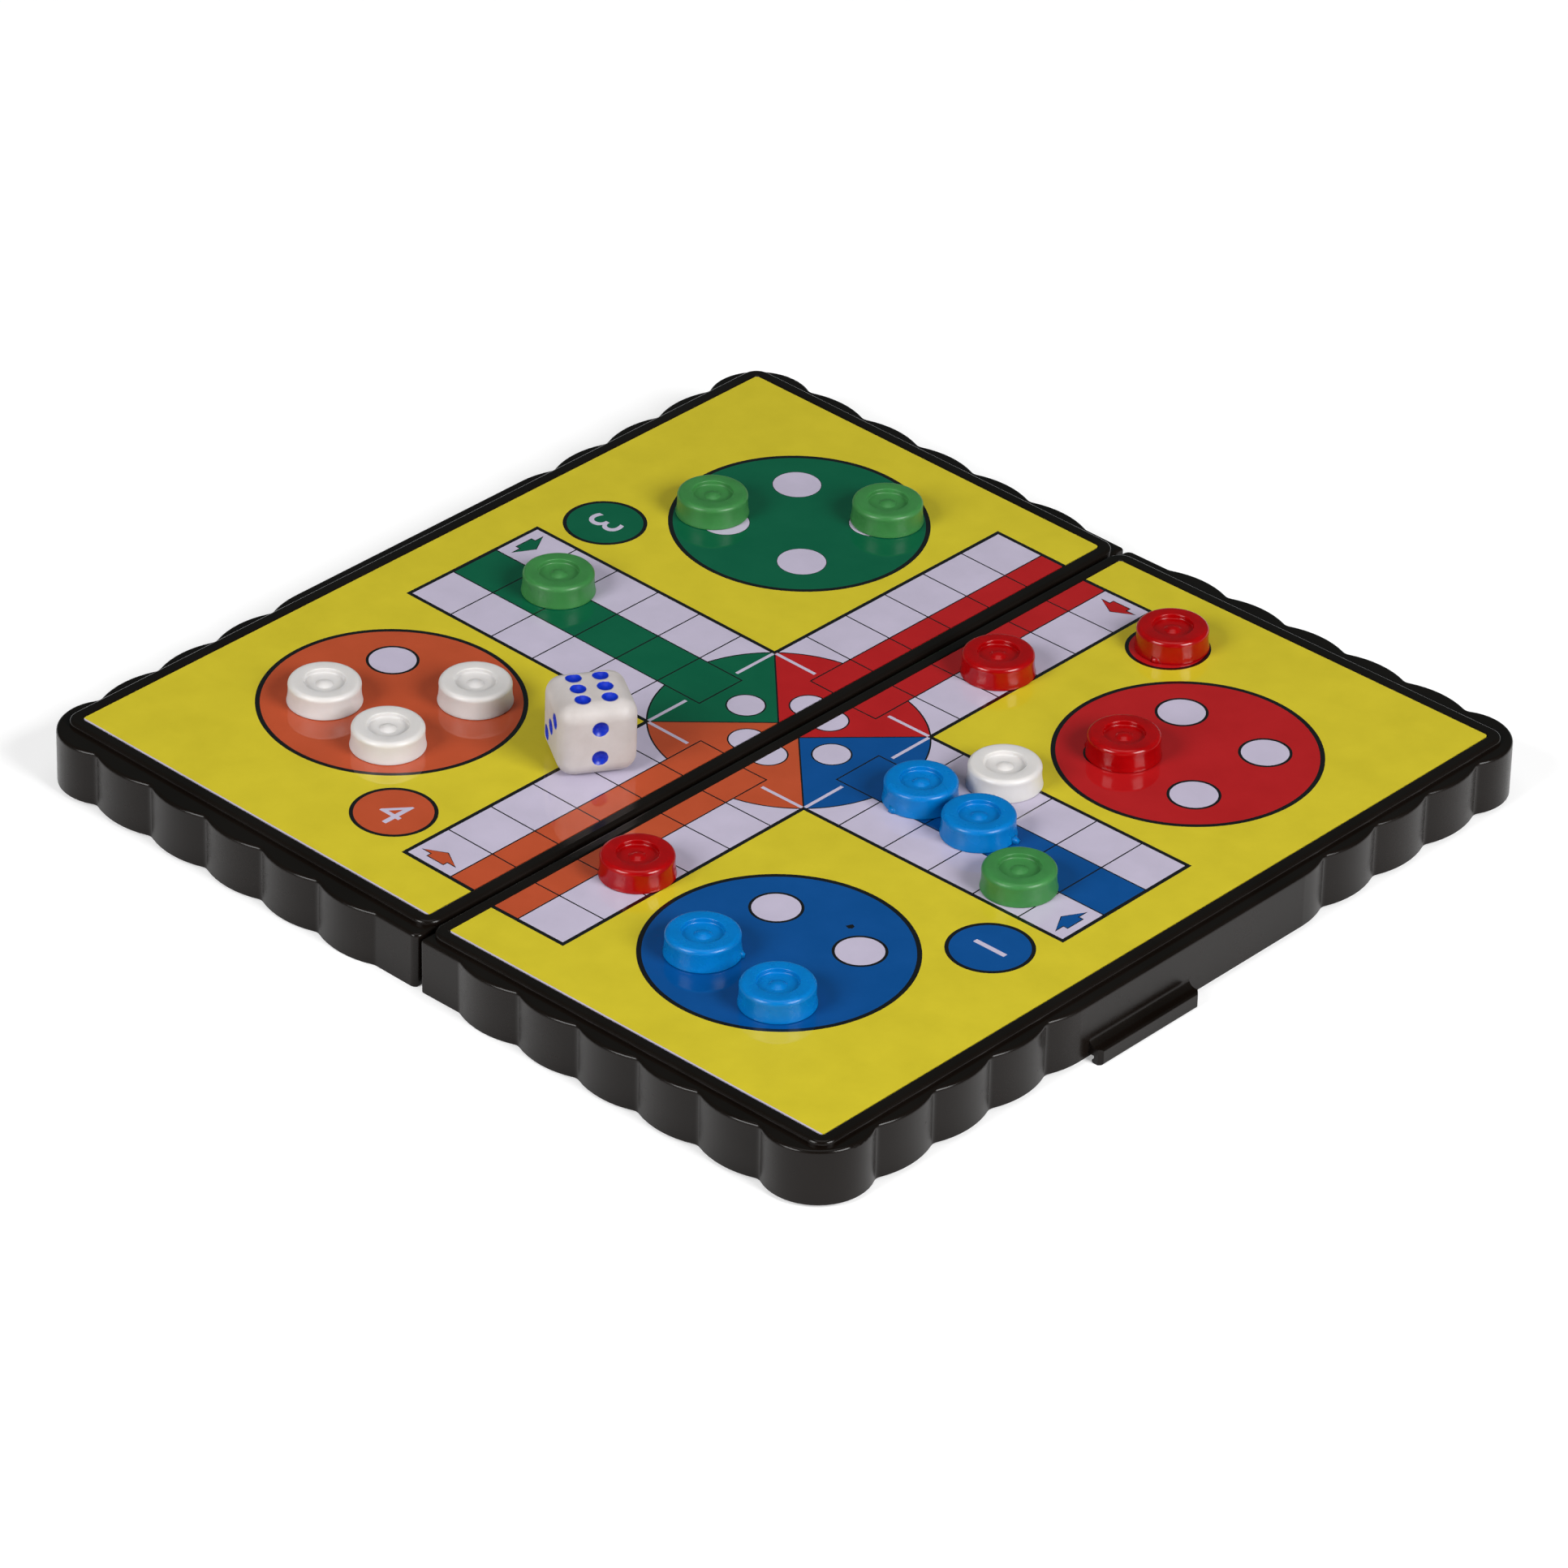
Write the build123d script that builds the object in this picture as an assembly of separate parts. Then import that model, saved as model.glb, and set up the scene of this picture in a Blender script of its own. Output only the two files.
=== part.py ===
from build123d import *
from math import asin, cos, degrees, hypot, radians, sin, sqrt
import os

# Folding magnetic ludo set, opened out flat with its boards up. Two copies of one moulded half are
# joined by two short hinge links, and each half carries a steel plate under a printed sheet.
# X runs across the seam, Y along it and Z up. The origin is the middle of the seam, on the table.
# The board is named by compass: east is +X and west is -X. Sizes are in millimetres.

# Case half, in its own flat frame: X from the seam face outward, Y along the seam, Z up from the rim
half_width = 65.1            # seam face to the crests of the outer wall
half_length = 128.5          # crest to crest along the seam
ledge_height = 7.4           # rim to the ledge outside the raised panel
bead_height = 8.1            # rim to the top of the bead round the sheet
wall = 1.5                   # walls, measured at the scallops' valleys
deck = 1.2                   # floor under the sheet
seam_gap = 0.8               # between the two seam faces, at the rim

# Scallops of the outer wall
scallop_depth = 1.05
valley_radius = 1.2
short_pitch = 9.66           # lobes on the two sides that meet the seam
seam_flat = 2.5              # least flat stretch between the seam and the first of them
long_pitch = 9.7             # lobes on the side opposite the seam
tab_flat = 4.5               # least stretch between the latch tab and the lobes beside it
near_corner_radius = 6.8     # corner lobe at the -Y end
far_corner_radius = 6.3      # corner lobe at the +Y end
near_seam_round = 0.3        # upright corners where the side walls meet the seam
far_seam_round = 1.0
seam_rim_round = 0.4         # lower edge of the seam face, which turns past the other half's
rim_round = 0.45             # rounded upper edge of the wall

# Raised panel, bead and recess for the sheet
outer_margin = 3.48          # sheet to the crests, opposite the seam
near_margin = 3.9            # sheet to the crests, at the -Y end
far_margin = 4.6             # sheet to the crests, at the +Y end
sheet_corner = 0.5
bead_width = 1.72            # also the margin at the seam
bead_outer_round = 0.5
bead_inner_round = 0.3
bead_proud = 0.1             # bead top above the print
plate_thickness = 0.4
print_thickness = 0.15
sheet_clearance = 0.05       # plate and print inside their recess, at each edge

# Inside of the tray
ceiling_round = 1.5
seam_inner_corner = 1.0
rim_overrun = 1.0            # how far the cuts run below the rim

# Latch tab: an L on the straight stretch of the outer wall, which hooks over the other half's wall
tab_length = 17.8
tab_offset = 0.4             # its +Y end to the middle of the wall
tab_gap = 0.8                # hook to wall
tab_thickness = 1.1
tab_top = 1.5                # above the rim
tab_arm = 1.1                # height of the arm above the hook's gap
tab_drop = 0.64              # hook end below the rim
tab_lip = 0.3                # rounded snap lip inside the hook's end
tab_blend = 1.0              # hollow round between the arm and the wall
tab_end_slope = 0.5
tab_round = 0.3

# Hinge links: short dog-bones that turn on wire pins held by ears behind the seam walls
hinge_end = 18.8             # middle of each link to the nearer end of the halves
pin_inset = 0.8              # pin axis behind the seam face
closed_gap = 0.3             # between the two rims when the case is shut
pin_radius = 0.45
pin_fit = 0.01               # pin in its ears
pin_clearance = 0.05         # link on its pins
link_radius = 0.8
link_web = 1.1
link_width = 7.6
link_side_gap = 0.2          # link to ears
ear_thickness = 2.4
ear_depth = 3.0              # seam face to the inner end of the ears
ear_round = 1.0
notch_gap = 0.3              # round the link in the seam wall
pin_setback = 0.2            # each end of a pin inside the outer face of its ear
snap_width = 0.75            # mouth in the rim that a pin snaps through into its ear

# Counters and their magnets
counter_height = 3.0
counter_base_radius = 4.72
counter_waist_radius = 4.5
counter_top_radius = 4.55
counter_waist_height = 1.9
counter_round = 0.6
dish_radius = 2.6
dish_depth = 0.45
dish_floor_slope = 0.12
dome_radius = 1.1
dome_height = 0.35
magnet_radius = 2.5
magnet_thickness = 1.2
magnet_clearance = 0.1
magnet_recess = 0.1          # magnet above the counter's base
standing_gap = 0.02          # under whatever stands on the print

# Die
die_size = 10.0
die_round = 2.2
die_turn = -32.3             # degrees about its upright axis
pip_radius = 1.03
pip_depth = 0.45
pip_spread_long = 2.49       # along the rows of the six
pip_spread_short = 1.68      # across the rows of the six
pip_spread = 2.05            # on the other faces

# Where things stand on the open board, across and along it from its middle, for a sheet of this length
places_length = 120.0
counter_places = {
    "green": [(-42.2, 31.1), (-25.3, 45.7), (-42.4, 3.3), (43.5, -6.2)],
    "white": [(-44.3, -35.6), (-31.7, -37.1), (-31.5, -22.3), (26.9, 9.8)],
    "red": [(9.2, -35.8), (9.1, 28.5), (20.4, 48.4), (32.7, 25.1)],
    "blue": [(26.4, -42.6), (39.9, -44.2), (22.1, 0.0), (32.1, -0.7)],
}
die_place = (-12.7, -21.4)

# Sizes that follow from those above
sheet_width = half_width - bead_width - outer_margin
sheet_length = half_length - near_margin - far_margin
sheet_middle = (near_margin - far_margin) / 2
half_span = half_length / 2
valley_span = half_span - scallop_depth
valley_width = half_width - scallop_depth
print_top = bead_height - bead_proud
recess_floor = print_top - print_thickness - plate_thickness
ceiling = recess_floor - deck
tab_inner = half_width + tab_gap
# The halves rest on the edges of their rims at the seam and on the ends of their hooks
tilt = degrees(asin(tab_drop / hypot(tab_inner, tab_drop)))
# The pins sit as far above the rims as brings the rims together when the case is shut
lean = radians(tilt)
pin_height = (seam_gap / 2 + pin_inset * cos(lean) - closed_gap / 2) / (1 + sin(lean))
pin_spacing = 2 * (pin_height + closed_gap / 2)
pin_level = pin_inset * sin(lean) + pin_height * cos(lean)


def corner_leg(radius):
    """Distance from a corner's crest lines to the valley where its lobe ends."""
    return radius + sqrt(2 * radius * scallop_depth - scallop_depth**2)


def lobe(start, end, outward):
    """Arc of one scallop between two valleys, bulging outward by the scallop depth."""
    middle = (Vector(*start) + Vector(*end)) / 2 + Vector(*outward) * scallop_depth
    return ThreePointArc(start, middle, end)


def corner_lobe(start, end, radius, along):
    """Large lobe round an outer corner, through the two valleys beside it."""
    centre = Vector(half_width - radius, along * (half_span - radius))
    middle = centre + Vector(1, along).normalized() * radius
    return ThreePointArc(start, middle, end)


def straight_with_ends(low, high):
    """Straight stretch at crest height, which curves down to the valleys at both its ends."""
    curve = (long_pitch / 2) ** 2 / (2 * scallop_depth) + scallop_depth / 2
    reach = long_pitch / 2
    bow = curve - sqrt(curve**2 - (reach / 2) ** 2)
    low_crest = (half_width, low + reach)
    high_crest = (half_width, high - reach)
    return [
        ThreePointArc((valley_width, low), (half_width - bow, low + reach / 2), low_crest),
        Line(low_crest, high_crest),
        ThreePointArc(high_crest, (half_width - bow, high - reach / 2), (valley_width, high)),
    ]


def scalloped_outline():
    """Outline of the half seen from above, with scallops on its three outer sides."""
    near_leg = corner_leg(near_corner_radius)
    far_leg = corner_leg(far_corner_radius)
    near_last = half_width - near_leg
    far_last = half_width - far_leg
    near_lobes = int((near_last - seam_flat) // short_pitch)
    far_lobes = int((far_last - seam_flat) // short_pitch)
    near_first = near_last - near_lobes * short_pitch
    far_first = far_last - far_lobes * short_pitch
    low_first = -half_span + near_leg
    high_last = half_span - far_leg
    tab_end = -tab_offset - tab_length
    long_lobes = int((tab_end - tab_flat - low_first) // long_pitch)
    low_last = low_first + long_lobes * long_pitch
    high_first = high_last - long_lobes * long_pitch

    edges = [Line((0, -valley_span), (near_first, -valley_span))]
    for number in range(near_lobes):
        start = near_first + number * short_pitch
        edges.append(lobe((start, -valley_span), (start + short_pitch, -valley_span), (0, -1)))
    edges.append(corner_lobe((near_last, -valley_span), (valley_width, low_first), near_corner_radius, -1))
    for number in range(long_lobes):
        start = low_first + number * long_pitch
        edges.append(lobe((valley_width, start), (valley_width, start + long_pitch), (1, 0)))
    edges += straight_with_ends(low_last, high_first)
    for number in range(long_lobes):
        start = high_first + number * long_pitch
        edges.append(lobe((valley_width, start), (valley_width, start + long_pitch), (1, 0)))
    edges.append(corner_lobe((valley_width, high_last), (far_last, valley_span), far_corner_radius, 1))
    for number in range(far_lobes):
        start = far_last - number * short_pitch
        edges.append(lobe((start, valley_span), (start - short_pitch, valley_span), (0, 1)))
    edges.append(Line((far_first, valley_span), (0, valley_span)))
    edges.append(Line((0, valley_span), (0, -valley_span)))
    outline = make_face(edges)

    def is_valley(vertex):
        beside = abs(abs(vertex.Y) - valley_span) < 1e-3 and vertex.X > 1e-3
        outside = abs(vertex.X - valley_width) < 1e-3 and abs(vertex.Y) < valley_span - 1e-3
        return beside or outside

    outline = fillet(outline.vertices().filter_by(is_valley), valley_radius)
    outline = fillet(outline.vertices().group_by(Axis.X)[0].sort_by(Axis.Y)[0], near_seam_round)
    return fillet(outline.vertices().group_by(Axis.X)[0].sort_by(Axis.Y)[-1], far_seam_round)


def sheet_outline(growth, corner):
    """Rounded rectangle concentric with the sheet, grown by the given amount on every side."""
    middle = bead_width + sheet_width / 2
    width = sheet_width + 2 * growth
    length = sheet_length + 2 * growth
    return Pos(middle, sheet_middle) * RectangleRounded(width, length, corner)


def tray_hollow():
    """Storage space under the deck, with rounded corners and a rounded ceiling."""
    length = 2 * (valley_span - wall)
    width = valley_width - 2 * wall
    height = ceiling + rim_overrun
    block = Box(width, length, height, align=(Align.MIN, Align.CENTER, Align.MIN))
    block = Pos(wall, 0, -rim_overrun) * block
    uprights = block.edges().filter_by(Axis.Z)
    shrink = wall + scallop_depth
    outer = uprights.group_by(Axis.X)[-1].sort_by(Axis.Y)
    block = fillet([outer[0]], near_corner_radius - shrink)
    outer = block.edges().filter_by(Axis.Z).group_by(Axis.X)[-1].sort_by(Axis.Y)
    block = fillet([outer[-1]], far_corner_radius - shrink)
    block = fillet(block.edges().filter_by(Axis.Z).group_by(Axis.X)[0], seam_inner_corner)
    return fillet(block.edges().group_by(Axis.Z)[-1], ceiling_round)


def latch_tab():
    """L-shaped hook on the outer wall, with a blended top, angled ends and a snap lip."""
    root = half_width - wall / 2
    outer = tab_inner + tab_thickness
    underside = tab_top - tab_arm
    blend_foot = (half_width + tab_blend, tab_top)
    blend_head = (half_width, tab_top + tab_blend)
    sag = tab_blend * (1 - 1 / sqrt(2))
    profile = [
        Line((root, underside), (tab_inner, underside)),
        Line((tab_inner, underside), (tab_inner, -tab_drop)),
        Line((tab_inner, -tab_drop), (outer, -tab_drop)),
        Line((outer, -tab_drop), (outer, tab_top)),
        Line((outer, tab_top), blend_foot),
        ThreePointArc(blend_foot, (half_width + sag, tab_top + sag), blend_head),
        Line(blend_head, (root, tab_top + tab_blend)),
        Line((root, tab_top + tab_blend), (root, underside)),
    ]
    hook = extrude(Plane.XZ * make_face(profile), -tab_length)
    hook = chamfer(hook.edges().filter_by(Axis.Z).group_by(Axis.X)[-1], tab_end_slope)
    hook = fillet(hook.edges().filter_by(Axis.Y).group_by(Axis.X)[-1], tab_round)
    lip = Rot(-90, 0, 0) * Cylinder(tab_lip, tab_length, align=(Align.CENTER, Align.CENTER, Align.MIN))
    hook = hook + Pos(tab_inner, 0, tab_lip - tab_drop) * lip
    return Pos(0, -tab_offset - tab_length, 0) * hook


def hinge_places():
    """Middles of the two hinge links along the seam."""
    return (hinge_end - half_span, half_span - hinge_end)


def hinge_ears():
    """Pairs of ears behind the seam wall that carry the hinge pins."""
    inner_face = link_width / 2 + link_side_gap
    ear_block = Box(ear_depth, ear_thickness, ceiling, align=(Align.MIN, Align.MIN, Align.MIN))
    inner_edges = ear_block.edges().filter_by(Axis.Y).group_by(Axis.X)[-1]
    ear_block = fillet(inner_edges.sort_by(Axis.Z)[0], ear_round)
    ears = []
    for place in hinge_places():
        ears.append(Pos(0, place + inner_face, 0) * ear_block)
        ears.append(Pos(0, place - inner_face - ear_thickness, 0) * ear_block)
    return ears


def hinge_cuts():
    """Notches for the links in the seam wall, and the pins' bores in the ears with their snap mouths."""
    notch_width = link_width + 2 * link_side_gap
    notch_top = pin_height + link_radius + notch_gap
    notch_depth = pin_inset + link_radius + notch_gap
    bore_span = notch_width + 2 * ear_thickness
    cuts = []
    for place in hinge_places():
        notch = Box(2 * notch_depth, notch_width, 2 * notch_top)
        bore = Rot(90, 0, 0) * Cylinder(pin_radius + pin_fit, bore_span)
        mouth = Box(snap_width, bore_span, 2 * pin_height)
        cuts.append(Pos(0, place, 0) * notch)
        cuts.append(Pos(pin_inset, place, pin_height) * bore)
        cuts.append(Pos(pin_inset, place, 0) * mouth)
    return cuts


def seam_edge_cut():
    """What rounding takes off the lower edge of the seam face."""
    square = Box(2 * seam_rim_round, half_length, 2 * seam_rim_round)
    rod = Rot(90, 0, 0) * Cylinder(seam_rim_round, half_length)
    return square - Pos(seam_rim_round, 0, seam_rim_round) * rod


def case_half():
    """One moulded half: scalloped wall, raised panel with its bead, hollow, tab and hinge ears."""
    block = extrude(scalloped_outline(), ledge_height)
    block = fillet(block.edges().group_by(Axis.Z)[-1], rim_round)
    panel = extrude(sheet_outline(bead_width, sheet_corner + bead_width), bead_height)
    panel = fillet(panel.edges().group_by(Axis.Z)[-1], bead_outer_round)
    recess = extrude(Pos(0, 0, recess_floor) * sheet_outline(0, sheet_corner), bead_height)
    panel = panel - recess
    lip = panel.edges().group_by(Axis.Z)[-1]
    inner_lip = lip.filter_by(lambda edge: is_on_recess(edge))
    panel = fillet(inner_lip, bead_inner_round)
    half = block + panel - recess
    half = half - tray_hollow()
    for ear in hinge_ears():
        half = half + ear
    half = half + latch_tab()
    for cut in hinge_cuts():
        half = half - cut
    return half - seam_edge_cut()


def is_on_recess(edge):
    """True for the edges of the recess at the top of the bead."""
    centre = edge.center()
    inside_x = bead_width - 1e-3 < centre.X < bead_width + sheet_width + 1e-3
    inside_y = abs(centre.Y - sheet_middle) < sheet_length / 2 + 1e-3
    return inside_x and inside_y


def steel_plate():
    """Thin steel sheet that the magnets cling to."""
    shape = sheet_outline(-sheet_clearance, sheet_corner)
    return extrude(Pos(0, 0, recess_floor) * shape, plate_thickness)


def board_print():
    """Printed and film-covered sheet on the steel plate."""
    shape = sheet_outline(-sheet_clearance, sheet_corner)
    return extrude(Pos(0, 0, recess_floor + plate_thickness) * shape, print_thickness)


def counter():
    """Turned profile of one counter, standing at the origin, with its pocket for the magnet."""
    top_edge = counter_top_radius - counter_round
    pocket_radius = magnet_radius + magnet_clearance
    pocket_depth = magnet_recess + magnet_thickness
    dish_floor = counter_height - dish_depth
    corner_middle = counter_round * (1 - 1 / sqrt(2))
    dome_foot = dish_floor + dish_floor_slope
    dome_ball = (dome_radius**2 + dome_height**2) / (2 * dome_height)
    dome_half_angle = asin(dome_radius / dome_ball) / 2
    dome_middle = dome_foot + dome_height - dome_ball * (1 - cos(dome_half_angle))
    profile = [
        Line((0, pocket_depth), (pocket_radius, pocket_depth)),
        Line((pocket_radius, pocket_depth), (pocket_radius, 0)),
        Line((pocket_radius, 0), (counter_base_radius, 0)),
        ThreePointArc(
            (counter_base_radius, 0),
            (counter_waist_radius, counter_waist_height),
            (counter_top_radius, counter_height - counter_round),
        ),
        ThreePointArc(
            (counter_top_radius, counter_height - counter_round),
            (counter_top_radius - corner_middle, counter_height - corner_middle),
            (top_edge, counter_height),
        ),
        Line((top_edge, counter_height), (dish_radius, counter_height)),
        Line((dish_radius, counter_height), (dish_radius, dish_floor)),
        Line((dish_radius, dish_floor), (dome_radius, dome_foot)),
        ThreePointArc(
            (dome_radius, dome_foot),
            (dome_ball * sin(dome_half_angle), dome_middle),
            (0, dome_foot + dome_height),
        ),
        Line((0, dome_foot + dome_height), (0, pocket_depth)),
    ]
    section = Plane.XZ * make_face(profile)
    return revolve(section, Axis.Z)


def magnet():
    """Disc magnet in the counter's base."""
    disc = Cylinder(magnet_radius, magnet_thickness, align=(Align.CENTER, Align.CENTER, Align.MIN))
    return Pos(0, 0, magnet_recess) * disc


def pip_patterns():
    """Pips of each face as (face plane, list of places); opposite faces add up to seven."""
    reach = die_size / 2
    spread = pip_spread
    diagonal = [(-spread, -spread), (0, 0), (spread, spread)]
    corners = [(-spread, -spread), (spread, -spread), (-spread, spread), (spread, spread)]
    rows = []
    for across in (-pip_spread_long, 0, pip_spread_long):
        rows += [(across, -pip_spread_short), (across, pip_spread_short)]
    return [
        (Plane((0, 0, reach), x_dir=(1, 0, 0), z_dir=(0, 0, 1)), rows),
        (Plane((0, 0, -reach), x_dir=(1, 0, 0), z_dir=(0, 0, -1)), [(0, 0)]),
        (Plane((reach, 0, 0), x_dir=(0, 1, 0), z_dir=(1, 0, 0)), [(0, -spread), (0, spread)]),
        (Plane((-reach, 0, 0), x_dir=(0, 1, 0), z_dir=(-1, 0, 0)), corners + [(0, 0)]),
        (Plane((0, -reach, 0), x_dir=(1, 0, 0), z_dir=(0, -1, 0)), diagonal),
        (Plane((0, reach, 0), x_dir=(1, 0, 0), z_dir=(0, 1, 0)), corners),
    ]


def die():
    """Rounded die with a shallow spherical dimple for each pip, standing at the origin."""
    cube = Box(die_size, die_size, die_size)
    cube = fillet(cube.edges(), die_round)
    ball_radius = (pip_radius**2 + pip_depth**2) / (2 * pip_depth)
    ball = Sphere(ball_radius)
    for plane, places in pip_patterns():
        for across, along in places:
            cube = cube - plane * Pos(across, along, ball_radius - pip_depth) * ball
    return Pos(0, 0, die_size / 2) * cube


def hinge_link():
    """Dog-bone with a bored boss at each end, centred between the two pins."""
    reach = pin_spacing / 2
    boss = Rot(90, 0, 0) * Cylinder(link_radius, link_width)
    bore = Rot(90, 0, 0) * Cylinder(pin_radius + pin_clearance, link_width)
    link = Box(2 * reach, link_width, link_web)
    for end in (-reach, reach):
        link = link + Pos(end, 0, 0) * boss
    for end in (-reach, reach):
        link = link - Pos(end, 0, 0) * bore
    return link


def hinge_pin():
    """Wire pin through a link's boss and both its ears, lying along Y."""
    span = link_width + 2 * (link_side_gap + ear_thickness - pin_setback)
    return Rot(90, 0, 0) * Cylinder(pin_radius, span)


def half_location(side):
    """Where the flat frame of a half lies on the table, leaning from its seam edge to its hook."""
    turn = 0 if side == "east" else 180
    return Rot(0, 0, turn) * Pos(seam_gap / 2, 0, 0) * Rot(0, -tilt, 0)


def board_location(place, turn=0):
    """Upright on the print at a place across and along the open board."""
    across, along = [distance * sheet_length / places_length for distance in place]
    side = "east" if across > 0 else "west"
    sign = 1 if across > 0 else -1
    from_seam = (abs(across) - seam_gap / 2 + print_top * sin(lean)) / cos(lean)
    own_turn = turn if across > 0 else turn + 180
    return half_location(side) * Pos(from_seam, sign * along, print_top + standing_gap) * Rot(0, 0, own_turn)


def save(shape, node):
    """Write one piece as one file."""
    export_step(shape, f"parts/{node}.step")


os.makedirs("parts", exist_ok=True)

moulding = case_half()
plate = steel_plate()
sheet = board_print()
for side in ("west", "east"):
    save(half_location(side) * moulding, f"case_half_{side}")
    save(half_location(side) * plate, f"steel_plate_{side}")
    save(half_location(side) * sheet, f"board_print_{side}")

link = hinge_link()
pin = hinge_pin()
for name, place in zip(("front", "back"), hinge_places()):
    save(Pos(0, place, pin_level) * link, f"hinge_link_{name}")
    save(Pos(-pin_spacing / 2, place, pin_level) * pin, f"hinge_pin_west_{name}")
    save(Pos(pin_spacing / 2, place, pin_level) * pin, f"hinge_pin_east_{name}")

counter_body = counter()
counter_magnet = magnet()
for colour, places in counter_places.items():
    for number, place in enumerate(places, start=1):
        save(board_location(place) * counter_body, f"counter_{colour}_{number}")
        save(board_location(place) * counter_magnet, f"magnet_{colour}_{number}")

save(board_location(die_place, die_turn) * die(), "die")
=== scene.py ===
import bpy
import bmesh
from math import asin, cos, hypot, pi, radians, sin, sqrt
from mathutils import Matrix, Vector
from mathutils.geometry import delaunay_2d_cdt


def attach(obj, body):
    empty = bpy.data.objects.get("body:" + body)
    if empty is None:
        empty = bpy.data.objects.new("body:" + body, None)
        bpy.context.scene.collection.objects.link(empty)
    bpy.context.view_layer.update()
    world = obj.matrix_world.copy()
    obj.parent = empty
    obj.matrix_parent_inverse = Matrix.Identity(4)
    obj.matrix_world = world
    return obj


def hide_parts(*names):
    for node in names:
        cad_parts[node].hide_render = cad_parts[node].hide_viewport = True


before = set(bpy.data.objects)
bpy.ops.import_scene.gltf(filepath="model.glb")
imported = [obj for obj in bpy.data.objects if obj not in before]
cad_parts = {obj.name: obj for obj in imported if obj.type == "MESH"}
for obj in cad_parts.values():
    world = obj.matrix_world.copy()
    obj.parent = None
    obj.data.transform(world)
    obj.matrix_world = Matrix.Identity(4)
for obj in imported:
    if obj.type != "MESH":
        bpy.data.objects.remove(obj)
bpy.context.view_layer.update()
MM = 0.001

# Case halves. Two copies of one injection moulding in black polystyrene, turned round to face each
# other. The outside walls have the satin grain of a spark-finished tool, and the ledge and the bead
# round the board are polished.
wall_grain = 0.22 * MM
wall_relief = 0.0012 * MM
wall_roughness = 0.25
polished_roughness = 0.16
polish_begins = 0.35             # upward part of the surface's direction
polish_full = 0.9
flow_length = 14 * MM
flow_stretch = (1, 1, 0.35)      # the flow marks run up the walls
scuff_size = 1.3 * MM
smoothest_change = -0.03         # of the roughness, by flow marks and scuffs
roughest_change = 0.05
noise_roughness = 0.55


def add_node(tree, kind, inputs=None, **settings):
    """A node with its settings made, and its inputs set to values or joined to other nodes' outputs."""
    node = tree.nodes.new(kind)
    for name, value in settings.items():
        setattr(node, name, value)
    for name, value in (inputs or {}).items():
        if isinstance(value, bpy.types.NodeSocket):
            tree.links.new(value, node.inputs[name])
        else:
            node.inputs[name].default_value = value
    return node


def worked_out(tree, operation, *values):
    """The result of a math node on values or on other nodes' outputs."""
    return add_node(tree, "ShaderNodeMath", dict(enumerate(values)), operation=operation).outputs["Value"]


def seen(red, green, blue):
    """The linear colour of one that is seen on a screen as these values from 0 to 255."""
    linear = []
    for value in (red, green, blue):
        share = value / 255
        linear.append(share / 12.92 if share < 0.04045 else ((share + 0.055) / 1.055) ** 2.4)
    return (*linear, 1.0)


def new_finish(name, values):
    """A material with the given constant values on its shader, and its tree, shader and object space."""
    material = bpy.data.materials.new(name)
    material.use_nodes = True
    tree = material.node_tree
    shader = tree.nodes["Principled BSDF"]
    for socket, value in values.items():
        shader.inputs[socket].default_value = value
    space = add_node(tree, "ShaderNodeTexCoord")
    return material, tree, shader, space


def speckle(tree, space, size, detail=2.0, stretch=(1, 1, 1)):
    """Noise over the piece whose blotches are about the given size, from 0 to 1."""
    place = add_node(tree, "ShaderNodeMapping", {"Vector": space.outputs["Object"], "Scale": stretch})
    noise = add_node(tree, "ShaderNodeTexNoise", {
        "Vector": place.outputs["Vector"], "Scale": 1 / size, "Detail": detail,
        "Roughness": noise_roughness,
    })
    return noise.outputs["Fac"]


def spread(tree, value, low, high, start=0.3, end=0.7):
    """The value between two levels, given a noise that mostly lies between start and end."""
    node = add_node(tree, "ShaderNodeMapRange", {
        "Value": value, "From Min": start, "From Max": end, "To Min": low, "To Max": high,
    })
    return node.outputs["Result"]


def blended(tree, share, first, second):
    """A colour between two others, by a share from 0 to 1."""
    node = add_node(tree, "ShaderNodeMix", {"Factor": share}, data_type="RGBA")
    for socket, colour in (("A", first), ("B", second)):
        target = [entry for entry in node.inputs if entry.name == socket and entry.type == "RGBA"][0]
        if isinstance(colour, bpy.types.NodeSocket):
            tree.links.new(colour, target)
        else:
            target.default_value = colour
    return [entry for entry in node.outputs if entry.type == "RGBA"][0]


def raised(tree, shader, height, relief, socket="Normal"):
    """Relief on the surface, in metres, from a height that runs from 0 to 1."""
    bump = add_node(tree, "ShaderNodeBump", {"Height": height, "Distance": relief, "Strength": 1.0})
    tree.links.new(bump.outputs["Normal"], shader.inputs[socket])


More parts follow.
